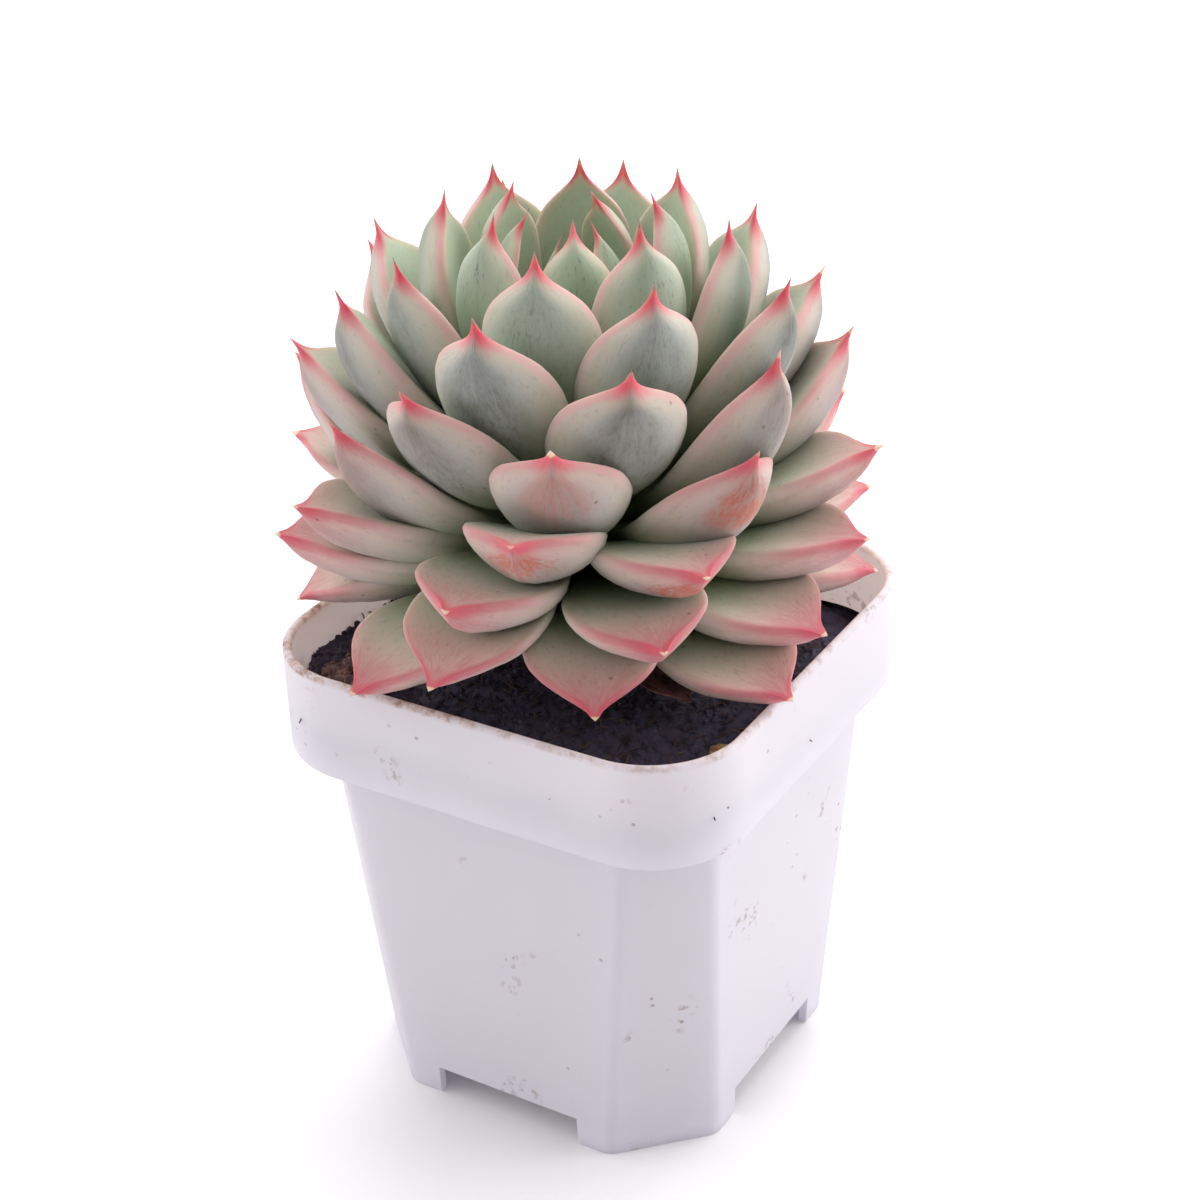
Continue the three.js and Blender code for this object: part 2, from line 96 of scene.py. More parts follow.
# Along a leaf, from its neck at 0 to its tip at 1: half width, thickness, and how sharp the keel is.
OUTLINE = [
    (0, 0.34), (0.12, 0.38), (0.25, 0.54), (0.4, 0.8), (0.53, 0.96), (0.64, 1), (0.73, 0.95), (0.8, 0.82),
    (0.85, 0.61), (0.885, 0.38), (0.91, 0.22), (0.935, 0.115), (0.965, 0.05), (1, 0.006),
]
DEPTH = [
    (0, 0.42), (0.25, 0.62), (0.5, 0.95), (0.64, 1), (0.77, 0.92), (0.85, 0.72), (0.9, 0.46), (0.935, 0.2),
    (0.96, 0.075), (1, 0.008),
]
KEEL = [(0, 0), (0.45, 0.05), (0.7, 0.4), (0.85, 0.85), (0.94, 0.6), (1, 0)]


def srgb(red, green, blue):
    """A screen colour, each part 0 to 255, as the linear colour that shaders take."""
    parts = [part / 255 for part in (red, green, blue)]
    return tuple(p / 12.92 if p <= 0.04045 else ((p + 0.055) / 1.055) ** 2.4 for p in parts)


# ---- sizes and colours that a user would change
def length(name, description, default):
    return FloatProperty(name=name, description=description, default=default, unit="LENGTH", precision=5)


def angle(name, description, degrees):
    return FloatProperty(name=name, description=description, default=math.radians(degrees), subtype="ANGLE")


def number(name, description, default):
    return FloatProperty(name=name, description=description, default=default)


def count(name, description, default):
    return IntProperty(name=name, description=description, default=default)


def colour(name, description, red, green, blue):
    return FloatVectorProperty(name=name, description=description, default=srgb(red, green, blue),
                               subtype="COLOR", size=3, min=0, max=1)


class PotSettings(bpy.types.PropertyGroup):
    height: length("Height", "From the feet to the lip", POT_HIGH.z - POT_LOW.z)
    collar_width: length("Collar width", "Across the flats of the collar", POT_HIGH.x - POT_LOW.x)
    collar_height: length("Collar height", "From the ledge to the lip", 17.2 * MM)
    collar_corner: length("Collar corner", "Corner radius of the collar", 15 * MM)
    top_width: length("Body top width", "Across the flats, just under the collar", 68 * MM)
    base_width: length("Body base width", "Across the flats, at the feet", 61.4 * MM)
    top_chamfer: length("Top chamfer", "How much of each side the cut corner takes at the top", 9.8 * MM)
    base_chamfer: length("Base chamfer", "How much of each side the cut corner takes at the base", 12.4 * MM)
    edge_radius: length("Edge radius", "Rounding where a flat side meets a cut corner", 3.4 * MM)
    wall: length("Wall", "Thickness of the wall", 1.4 * MM)
    foot_height: length("Foot height", "Height of the notches between the feet", 5.3 * MM)
    notch_width: length("Notch width", "Width of the notches between the feet", 25.6 * MM)
    plastic: colour("Plastic", "Colour of the moulded plastic", 247, 246, 254)
    glow: number("Glow", "Share of the light that passes through the wall", 0.42)
    stain: colour("Stain", "Colour of dried soil on the plastic", 150, 112, 92)


class PlantSettings(bpy.types.PropertyGroup):
    offset: length("Offset", "How far the plant stands off the pot's middle, along X", -2 * MM)
    hub_height: length("Hub height", "Leaf tips are placed round this point of the stem", 90 * MM)
    leaf_width: length("Leaf width", "Width of a full-grown leaf", 19.4 * MM)
    bud_width: length("Bud width", "Width of the youngest leaf", 3 * MM)
    thickness: number("Thickness", "Thickest part of a leaf, as a share of its width", 0.3)
    cup: number("Cup", "How far the margins rise, as a share of the half width", 0.17)
    leaves: count("Leaves", "How many leaves the rosette has", 69)
    heart_leaves: count("Heart leaves", "How many of them are still one bud", 15)
    face: colour("Face", "Upper, inner side of a leaf", 172, 188, 158)
    # The outer side's middle is painted dark and its flanks painted light: painted shade and painted side
    # light.
    back: colour("Back", "Lower, outer side of a leaf, along its middle", 103, 109, 98)
    lit_flank: colour("Flank", "Lower, outer side of a leaf, towards its margins", 178, 179, 168)
    bloom: colour("Bloom", "Thick waxy bloom", 196, 198, 198)
    lime: colour("Lime", "Young tissue near the neck", 148, 166, 96)
    peach: colour("Peach", "Band just inside the margins", 196, 182, 162)
    blush: colour("Blush", "Pink of the margins", 206, 156, 154)
    flush: colour("Flush", "Pinkish beige of old leaves", 212, 178, 170)
    rose: colour("Rose", "Red of the outer end of old leaves", 178, 82, 94)
    crimson: colour("Crimson", "Red of the tips", 200, 54, 82)
    straw: colour("Straw", "Dried tissue", 222, 198, 168)
    smudge: colour("Smudge", "Grey scuffs under the tips", 96, 90, 90)
    rust: colour("Rust", "Scarred tissue", 182, 98, 74)


class SoilSettings(bpy.types.PropertyGroup):
    edge_height: length("Edge height", "Where the soil meets the wall", 68 * MM)
    crown_height: length("Crown height", "Where the soil meets the stem", 73 * MM)
    hollow: length("Hollow", "How far the soil has sunk at the right back corner", 5 * MM)
    crumb: length("Crumb", "Size of a large crumb", 1.5 * MM)
    crumbs: count("Crumbs", "Crumbs per square decimetre", 16500)
    clods: count("Clods", "Clods per square decimetre of the heap", 9000)
    fibres: count("Fibres", "Fibres per square decimetre", 1600)
    dark: colour("Dark", "Moist peat", 72, 68, 92)
    light: colour("Light", "Dry crumbs", 106, 86, 86)


class StageSettings(bpy.types.PropertyGroup):
    azimuth: angle("Azimuth", "Camera's turn round the pot, from the front", 31.4)
    elevation: angle("Elevation", "Camera's height over the horizon", 28.95)
    roll: angle("Roll", "Camera's tilt", -1.845)
    distance: length("Distance", "Camera to the point it looks at", 374.3 * MM)
    lens: number("Lens", "Focal length on a 36 mm wide sensor, in millimetres", 72.1)
    sky: number("Sky", "Strength of the white surroundings", 1.0)
    room: number("Room", "Strength of the darker room behind the camera", 0.0)
    window: number("Window", "Power of the big soft light on the right, in watts", 8.3)
    overhead: number("Overhead", "Power of the soft light above and behind, in watts", 8.0)
    front: number("Front", "Power of the soft light high over the camera, in watts", 0.3)
    side: number("Side", "Power of the soft light on the left, in watts", 3.2)


SETTINGS = {"succulent_pot": PotSettings, "succulent_plant": PlantSettings,
            "succulent_soil": SoilSettings, "succulent_stage": StageSettings}


# ---- node trees, written as sums
class Wire:
    """A value on its way through a node tree."""

    def __init__(self, tree, socket):
        self.tree = tree
        self.socket = socket

    def joined(self, operation, *others, swapped=False):
        parts = [*others, self] if swapped else [self, *others]
        vector = any(isinstance(part, Wire) and part.socket.type == "VECTOR" for part in parts)
        node = self.tree.nodes.new("ShaderNodeVectorMath" if vector else "ShaderNodeMath")
        node.operation = operation
        for socket, part in zip(node.inputs, parts):
            plug(self.tree, part, socket)
        scalar = vector and operation in ("DOT_PRODUCT", "LENGTH", "DISTANCE")
        return Wire(self.tree, node.outputs[1 if scalar else 0])

    def __add__(self, other):
        return self.joined("ADD", other)

    def __sub__(self, other):
        return self.joined("SUBTRACT", other)

    def __mul__(self, other):
        return self.joined("MULTIPLY", other)

    def __truediv__(self, other):
        return self.joined("DIVIDE", other)

    def __pow__(self, other):
        return self.joined("POWER", other)

    def __radd__(self, other):
        return self.joined("ADD", other, swapped=True)

    def __rsub__(self, other):
        return self.joined("SUBTRACT", other, swapped=True)

    def __rmul__(self, other):
        return self.joined("MULTIPLY", other, swapped=True)

    def size(self):
        return self.joined("ABSOLUTE")

    def parts(self):
        node = self.tree.nodes.new("ShaderNodeSeparateXYZ")
        plug(self.tree, self, node.inputs[0])
        return [Wire(self.tree, socket) for socket in node.outputs]


def plug(tree, value, socket):
    """Joins a wire to a socket, or sets the socket to a plain value."""
    if isinstance(value, Wire):
        tree.links.new(value.socket, socket)
    elif socket.type == "VECTOR" and isinstance(value, (int, float)):
        socket.default_value = (value, value, value)
    elif socket.type == "RGBA" and len(value) == 3:
        socket.default_value = (*value, 1)
    else:
        socket.default_value = value


def node_of(tree, kind, settings=None, output=0, **inputs):
    """Adds a node, sets and plugs it (an input's name has _ for a space) and returns one of its outputs."""
    node = tree.nodes.new(kind)
    for name, value in (settings or {}).items():
        setattr(node, name, value)
    for name, value in inputs.items():
        label = name.replace("_", " ")
        plug(tree, value, next(s for s in node.inputs if s.name == label and s.enabled))
    return Wire(tree, [s for s in node.outputs if s.enabled][output])


def smooth(value, low, high):
    """0 below low, 1 above high, and a smooth step between."""
    return node_of(value.tree, "ShaderNodeMapRange", {"interpolation_type": "SMOOTHSTEP"},
                   Value=value, From_Min=low, From_Max=high)


def mixed(tree, factor, first, second):
    """One colour that turns into another as the factor rises from 0 to 1."""
    return node_of(tree, "ShaderNodeMix", {"data_type": "RGBA"}, Factor=factor, A=first, B=second)


def curved(value, points):
    """A smooth run through given points, read at a value."""
    node = value.tree.nodes.new("ShaderNodeFloatCurve")
    curve = node.mapping.curves[0]
    curve.points[0].location = points[0]
    curve.points[1].location = points[-1]
    for point in points[1:-1]:
        curve.points.new(*point)
    node.mapping.update()
    plug(value.tree, value, node.inputs["Value"])
    return Wire(value.tree, node.outputs[0])


def noised(tree, place, scale, detail=3, roughness=0.5, distortion=0):
    return node_of(tree, "ShaderNodeTexNoise", Vector=place, Scale=scale, Detail=detail,
                   Roughness=roughness, Distortion=distortion)


def attribute(tree, name):
    """A number that the mesh stores at each point."""
    node = tree.nodes.new("ShaderNodeAttribute")
    node.attribute_name = name
    return Wire(tree, node.outputs["Fac"])


def geometry_tree(name, inputs):
    """A Geometry Nodes tree with named inputs, and the wires that they arrive on."""
    tree = bpy.data.node_groups.new(name, "GeometryNodeTree")
    tree.interface.new_socket("Geometry", in_out="INPUT", socket_type="NodeSocketGeometry")
    for label, kind in inputs.items():
        tree.interface.new_socket(label, in_out="INPUT", socket_type="NodeSocket" + kind)
    tree.interface.new_socket("Geometry", in_out="OUTPUT", socket_type="NodeSocketGeometry")
    arrive = tree.nodes.new("NodeGroupInput")
    return tree, {socket.name: Wire(tree, socket) for socket in arrive.outputs if socket.name}


def end_tree(tree, geometry, material):
    """Ends a tree in plain, painted geometry."""
    real = node_of(tree, "GeometryNodeRealizeInstances", Geometry=geometry)
    painted = node_of(tree, "GeometryNodeSetMaterial", Geometry=real, Material=material)
    leave = tree.nodes.new("NodeGroupOutput")
    plug(tree, painted, leave.inputs[0])


def grow(obj, tree, values):
    """Runs a tree on an object with these inputs and leaves the result as its plain mesh."""
    modifier = obj.modifiers.new(tree.name, "NODES")
    modifier.node_group = tree
    for item in tree.interface.items_tree:
        if item.in_out == "INPUT" and item.name in values:
            modifier[item.identifier] = values[item.name]
    bake(obj)


def bake(obj):
    """Puts the result of an object's modifiers into its mesh."""
    graph = bpy.context.evaluated_depsgraph_get()
    finished = obj.evaluated_get(graph)
    made = bpy.data.meshes.new_from_object(finished, preserve_all_data_layers=True, depsgraph=graph)
    obj.modifiers.clear()
    obj.data = made


# ---- meshes
def mesh_object(name, points, faces):
    mesh = bpy.data.meshes.new(name)
    mesh.from_pydata([tuple(p) for p in points], [], faces)
    mesh.validate()
    obj = bpy.data.objects.new(name, mesh)
    bpy.context.scene.collection.objects.link(obj)
    return obj


def lofted(rings, close_start=True, close_end=True):
    """Points and faces of a skin over rings of equal counts, with each end closed on a middle point."""
    count = len(rings[0])
    points = [p for ring in rings for p in ring]
    faces = []
    for r in range(len(rings) - 1):
        for i in range(count):
            a, b = r * count + i, r * count + (i + 1) % count
            faces.append((a, b, b + count, a + count))
    for wanted, ring, turned in ((close_start, 0, True), (close_end, len(rings) - 1, False)):
        if wanted:
            points.append(sum((Vector(p) for p in rings[ring]), Vector()) / count)
            middle = len(points) - 1
            for i in range(count):
                a, b = ring * count + i, ring * count + (i + 1) % count
                faces.append((b, a, middle) if turned else (a, b, middle))
    return points, faces


def soften(obj, angle=35):
    """Smooth shading, but for edges sharper than an angle."""
    obj.data.shade_smooth()
    obj.data.set_sharp_from_angle(angle=math.radians(angle))


def paint(obj, material):
    obj.data.materials.clear()
    obj.data.materials.append(material)


def hand_over(piece, slot, *nodes):
    """Says that a piece rides on the one body and stands for its CAD nodes, which are hidden; the slot is not
    used.
    """
    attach(piece, "root")
    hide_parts(*nodes)


def material_tree(name):
    """A new material: itself, its tree, its shader and the wire with the place on the object."""
    material = bpy.data.materials.new(name)
    material.use_nodes = True
    tree = material.node_tree
    shader = tree.nodes["Principled BSDF"]
    place = Wire(tree, tree.nodes.new("ShaderNodeTexCoord").outputs["Object"])
    return material, tree, shader, place


def bumped(tree, shader, height, distance, strength=1.0):
    """Gives a shader fine relief."""
    bump = node_of(tree, "ShaderNodeBump", Strength=strength, Distance=distance, Height=height)
    plug(tree, bump, shader.inputs["Normal"])


# ---- pot
def collar_ring(pot, inset, z, steps):
    """The collar's section: a square with round corners."""
    half = pot.collar_width / 2 - inset
    radius = pot.collar_corner - inset
    ring = []
    for corner in range(4):
        facing = (corner + 0.5) * math.pi / 2
        x = math.copysign(half - radius, math.cos(facing))
        y = math.copysign(half - radius, math.sin(facing))
        for i in range(2 * steps):
            angle = (corner + i / (2 * steps - 1)) * math.pi / 2
            ring.append(POT_MIDDLE + Vector((x + radius * math.cos(angle), y + radius * math.sin(angle), z)))
    return ring


def body_ring(pot, inset, z, steps):
    """The body's section at a height: a square with cut corners, its edges rounded."""
    up = z / (pot.height - pot.collar_height)
    half = (pot.base_width + (pot.top_width - pot.base_width) * up) / 2 - inset
    chamfer = pot.base_chamfer + (pot.top_chamfer - pot.base_chamfer) * up - inset * (2 - math.sqrt(2))
    radius = max(pot.edge_radius - inset, 0.5 * MM)
    setback = radius * math.tan(math.pi / 8)
    ring = []
    for corner in range(4):
        for edge in range(2):
            side = (corner + edge) * math.pi / 2
            away = 1 if edge == 0 else -1
            outward = Vector((math.cos(side), math.sin(side), 0))
            along = Vector((-outward.y, outward.x, 0)) * away
            middle = outward * (half - radius) + along * (half - chamfer - setback)
            start = side + (0 if edge == 0 else -math.pi / 4)
            for i in range(steps):
                angle = start + i / (steps - 1) * math.pi / 4
                turn = Vector((math.cos(angle), math.sin(angle), 0))
                ring.append(POT_MIDDLE + middle + turn * radius + Vector((0, 0, z)))
    return ring


def ring_of(radius, steps, z=0):
    """Points round the origin at a height."""
    angles = (i / steps * math.tau for i in range(steps))
    return [Vector((radius * math.cos(a), radius * math.sin(a), z)) for a in angles]


def box_cutter(name, size, middle):
    x, y, z = (s / 2 for s in size)
    corners = [Vector((a * x, b * y, c * z)) + middle for a in (-1, 1) for b in (-1, 1) for c in (-1, 1)]
    faces = [(0, 1, 3, 2), (4, 6, 7, 5), (0, 4, 5, 1), (2, 3, 7, 6), (0, 2, 6, 4), (1, 5, 7, 3)]
    return mesh_object(name, corners, faces)


def pot_rings(pot, steps):
    """The pot's rings, from under the feet up to the lip and down inside, and where the inside starts."""
    ledge = pot.height - pot.collar_height
    soft = 0.9 * MM
    lip = 0.7 * MM

    def body(inset, z):
        return body_ring(pot, inset, z, steps)

    def collar(inset, z):
        return collar_ring(pot, inset, z, steps)

    rings = [body(pot.wall, pot.foot_height), body(pot.wall, 0.2 * MM), body(pot.wall - 0.2 * MM, 0)]
    rings += [body(0.3 * MM, 0), body(0.08 * MM, 0.1 * MM), body(0, 0.4 * MM)]
    rings += [body(0, ledge * i / 8) for i in range(1, 8)]
    rings += [body(0, ledge - 0.8 * MM), body(-0.15 * MM, ledge - 0.25 * MM), body(-0.6 * MM, ledge)]
    for i in range(7):
        bend = i / 6 * math.pi / 2
        rings.append(collar(soft * (1 - math.sin(bend)), ledge + soft * (1 - math.cos(bend))))
    rings += [collar(0, ledge + pot.collar_height * i / 6) for i in range(1, 6)]
    for i in range(9):
        bend = i / 8 * math.pi
        rings.append(collar(lip * (1 - math.cos(bend)), pot.height - lip + lip * math.sin(bend)))
    inner_from = len(rings) - 4
    rings += [collar(pot.wall, pot.height - 3 * MM), collar(pot.wall, ledge + pot.wall)]
    rings += [body(pot.wall, ledge), body(pot.wall, pot.foot_height + 1.5 * MM)]
    return rings, inner_from


def pot_cutters(pot):
    """What is cut out of the pot: two notches across the base, one big hole and four small ones."""
    across = pot.collar_width + 10 * MM
    middle = POT_MIDDLE + Vector((0, 0, pot.foot_height / 2 - 1 * MM))
    height = pot.foot_height + 2 * MM
    cutters = [box_cutter("notch_x", (across, pot.notch_width, height), middle),
               box_cutter("notch_y", (pot.notch_width, across, height), middle)]
    spread = 14 * MM
    corners = [(i + 0.5) * math.pi / 2 for i in range(4)]
    holes = [(4.5 * MM, 0, 0)]
    holes += [(3 * MM, spread * math.cos(a), spread * math.sin(a)) for a in corners]
    for radius, x, y in holes:
        place = POT_MIDDLE + Vector((x, y, pot.foot_height))
        tube = [[p + place for p in ring_of(radius, 32, z)] for z in (-2 * MM, 4 * MM)]
        cutters.append(mesh_object("drain", *lofted(tube)))
    return cutters


def build_pot(pot):
    rings, inner_from = pot_rings(pot, steps=12)
    piece = mesh_object("pot_shell", *lofted(rings))
    inner = piece.data.attributes.new("inner", "FLOAT", "POINT")
    per_ring = len(rings[0])
    values = [float(i // per_ring >= inner_from) for i in range(len(piece.data.vertices))]
    inner.data.foreach_set("value", values)
    cutters = pot_cutters(pot)
    for cutter in cutters:
        cut = piece.modifiers.new(cutter.name, "BOOLEAN")
        cut.object = cutter
        cut.solver = "EXACT"
    bake(piece)
    for cutter in cutters:
        bpy.data.objects.remove(cutter)
    soften(piece, 28)
    paint(piece, plastic_material(pot))
    hand_over(piece, "pot", "pot")


def plastic_material(pot):
    """White plastic, a little clouded, with dried soil on the lip and stray marks on the sides."""
    material, tree, shader, place = material_tree("moulded plastic")
    clouded, inside, limescale = srgb(235, 233, 242), srgb(255, 240, 226), srgb(198, 160, 134)
    x, y, z = place.parts()
    inner = attribute(tree, "inner")
    cloud = noised(tree, place, 40, 2)
    tone = mixed(tree, cloud * 0.3, tuple(pot.plastic), clouded)
    wall = mixed(tree, inner * 0.9, tone, inside)
    rough = noised(tree, place, 420, 5, 0.65)
    left_side = smooth(x * -1, -15 * MM, 20 * MM)
    lip_line = smooth(z, pot.height - 1.1 * MM, pot.height - 0.3 * MM) * (0.3 + smooth(rough, 0.42, 0.6))
    lip_line = lip_line * (0.4 + left_side * 0.8)
    splash = (1 - smooth(z, pot.height - 10 * MM, pot.height - 4 * MM)) * inner * smooth(rough, 0.5, 0.62)
    flecks = noised(tree, place, 700, 3, 0.6)
    patch = noised(tree, place, 95, 2, 0.5)
    marks = smooth(patch, 0.63, 0.72) * smooth(flecks, 0.52, 0.62)
    fine = node_of(tree, "ShaderNodeTexVoronoi", Vector=place, Scale=330.0)
    chosen = noised(tree, place, 60, 1)
    specks = (1 - smooth(fine, 0.07, 0.13)) * smooth(chosen, 0.58, 0.66)
    wall = mixed(tree, (lip_line * 0.6).joined("MINIMUM", 0.8), wall, limescale)
    crust = lip_line * smooth(rough, 0.52, 0.66)
    dirt = (crust * 0.5 + splash * 0.5 + marks * 0.45 + specks * 0.5).joined("MINIMUM", 1.0)
    shade = mixed(tree, dirt, wall, tuple(pot.stain))
    plug(tree, shade, shader.inputs["Base Color"])
    plug(tree, 0.36 + cloud * 0.12 + dirt * 0.35, shader.inputs["Roughness"])
    grain = noised(tree, place, 160, 3) * 0.6 + dirt * 0.5 + noised(tree, place, 1500, 2) * 0.12
    bumped(tree, shader, grain, 0.12 * MM, 0.6)
    glow = node_of(tree, "ShaderNodeBsdfTranslucent", Color=shade)
    blend = tree.nodes.new("ShaderNodeMixShader")
    blend.inputs["Fac"].default_value = pot.glow
    tree.links.new(shader.outputs["BSDF"], blend.inputs[1])
    tree.links.new(glow.socket, blend.inputs[2])
    tree.links.new(blend.outputs[0], tree.nodes["Material Output"].inputs["Surface"])
    return material


# ---- plant
def eased(value, low, high):
    t = min(max((value - low) / (high - low), 0), 1)
    return t * t * (3 - 2 * t)


def neck_radius(z):
    """How far from the plant's axis a leaf's neck starts, at a height on the stem in millimetres."""
    narrowed = (STEM_TOP_RADIUS - STEM_FOOT_RADIUS) * eased(z, STEM_FOOT, STEM_TOP)
    return (STEM_FOOT_RADIUS + narrowed) * MM


def leaf_shape(plant, n):
    """What a leaf is, from its age: 0 is the youngest. Lines are in the upright plane it grows in."""
    turn, lift, reach_more = HABITS.get(n, (0, 0, 0))
    own = random.Random(400 + n)
    lean = math.radians(FIRST_LEAN + LEAN_STEP * n - lift)
    bud_shorter = BUD_SHORTER * max(0, 1 - n / BUD_LEAVES) ** 2
    reach = (FULL_REACH - bud_shorter - OLD_SHORTER * eased(n, OLD_FROM, OLD_TO) + reach_more) * MM
    neck_height = STEM_TOP - NECK_STEP * n
    neck = Vector((neck_radius(neck_height), 0, neck_height * MM))
    tip = Vector((reach * math.sin(lean), 0, plant.hub_height + reach * math.cos(lean)))
    bend = FIRST_BEND - BEND_STEP * n + BEND_PER_LIFT * lift + BOWED.get(n, 0)
    chord = tip - neck
    outwards = Vector((chord.z, 0, -chord.x))
    belly = (neck + tip) / 2 + outwards * 2 * bend
    width = plant.bud_width + (plant.leaf_width - plant.bud_width) * (1 - math.exp(-n / LEAVES_TO_WIDEN))
    return {
        "Neck": neck, "Belly": belly, "Tip": tip,
        "Axis": POT_MIDDLE + Vector((plant.offset, 0, 0)),
        "Turn": math.radians(FIRST_TURN - TURN_STEP * n + turn),
        "Roll": math.radians(own.uniform(-4, 4)),
        "Width": width * own.uniform(0.97, 1.04),
        "Thickness": width * plant.thickness * own.uniform(0.95, 1.05),
        "Cup": plant.cup * own.uniform(0.8, 1.2),
        "Ripple": 0.05,
        "Age": n / (plant.leaves - 1),
        "Own": own.uniform(0, 50),
        "Dry": DRIED_TIPS.get(n, 0.0),
        "Scar": SCARS.get(n, 0.0),
    }


LEAF_INPUTS = {
    "Neck": "Vector", "Belly": "Vector", "Tip": "Vector", "Axis": "Vector", "Turn": "Float", "Roll": "Float",
    "Width": "Float", "Thickness": "Float", "Cup": "Float", "Ripple": "Float", "Age": "Float", "Own": "Float",
    "Dry": "Float", "Scar": "Float", "Material": "Material",
}

# What each point of a leaf remembers for its material.
LEAF_MARKS = ("along", "across", "face", "margin", "age", "own", "dry", "scar")


def leaf_blank(name, sides=30, stations=46):
    """A closed tube of unit size that becomes a leaf: X across, Y from back to face, Z along."""
    rings = []
    for k in range(stations):
        t = k / (stations - 1)
        along = 1 - (1 - t) ** 1.35
        rings.append(ring_of(1, sides, along))
    return mesh_object(name, *lofted(rings))


def leaf_tree():
    """Bends the blank along a leaf's middle line and gives it its outline, belly, keel and cup."""
    tree, given = geometry_tree("Rosette leaf", LEAF_INPUTS)
    x, y, s = node_of(tree, "GeometryNodeInputPosition").parts()
    shrunk = s - smooth(s, 0.8, 1.0) * smooth(given["Age"], 0.35, 0.75) * 0.028
    rounded_end = (1 - smooth(s, 0.978, 1.002)).joined("SQRT")
    tapering = curved(shrunk, OUTLINE) * rounded_end
    margin = (1 - x.size()) * tapering
    marked = given["Geometry"]
    marks = (s, x, y, margin, given["Age"], given["Own"], given["Dry"], given["Scar"])
    for name, value in zip(LEAF_MARKS, marks):
        marked = node_of(tree, "GeometryNodeStoreNamedAttribute", {"data_type": "FLOAT", "domain": "POINT"},
                         Geometry=marked, Name=name, Value=value)
    neck, belly, tip = given["Neck"], given["Belly"], given["Tip"]
    rest = 1 - s
    line = neck * (rest * rest) + belly * (rest * s * 2) + tip * (s * s)
    ahead = ((belly - neck) * rest + (tip - belly) * s).joined("NORMALIZE")
    across = node_of(tree, "ShaderNodeCombineXYZ", Y=1.0)
    up = ahead.joined("CROSS_PRODUCT", across)
    wobble_place = node_of(tree, "ShaderNodeCombineXYZ", X=x * 0.6, Y=s * 2.4, Z=given["Own"])
    wobble = noised(tree, wobble_place, 1.6, 2) - 0.5
    half = given["Width"] * 0.5 * tapering * (1 + wobble * given["Ripple"])
    depth = given["Thickness"] * curved(shrunk, DEPTH) * rounded_end
    keel = curved(s, KEEL) * (0.25 + smooth(given["Age"], 0.3, 0.6) * 0.6)
    round_side = y.size()
    ridge = 1 - (x * x + 0.012).joined("SQRT")
    section = round_side * (1 - keel) + ridge.joined("MAXIMUM", 0.0) * keel
    is_face = y.joined("GREATER_THAN", 0.0)
    back_rise = section * depth * -1
    face_rise = round_side ** 0.6 * depth * 0.26
    bowl = half * given["Cup"] * x * x
    waves = wobble * given["Width"] * given["Ripple"] * 0.5
    rise = bowl + back_rise * (1 - is_face) + face_rise * is_face + waves
    cos, sin = given["Roll"].joined("COSINE"), given["Roll"].joined("SINE")
    sideways = across * cos + up * sin
    upwards = up * cos - across * sin
    flat = line + sideways * (half * x) + upwards * rise
    turned = node_of(tree, "ShaderNodeVectorRotate", {"rotation_type": "Z_AXIS"},
                     Vector=flat, Angle=given["Turn"])
    moved = node_of(tree, "GeometryNodeSetPosition", Geometry=marked, Position=turned + given["Axis"])
    smoothed = node_of(tree, "GeometryNodeSetShadeSmooth", Geometry=moved)
    end_tree(tree, smoothed, given["Material"])
    return tree


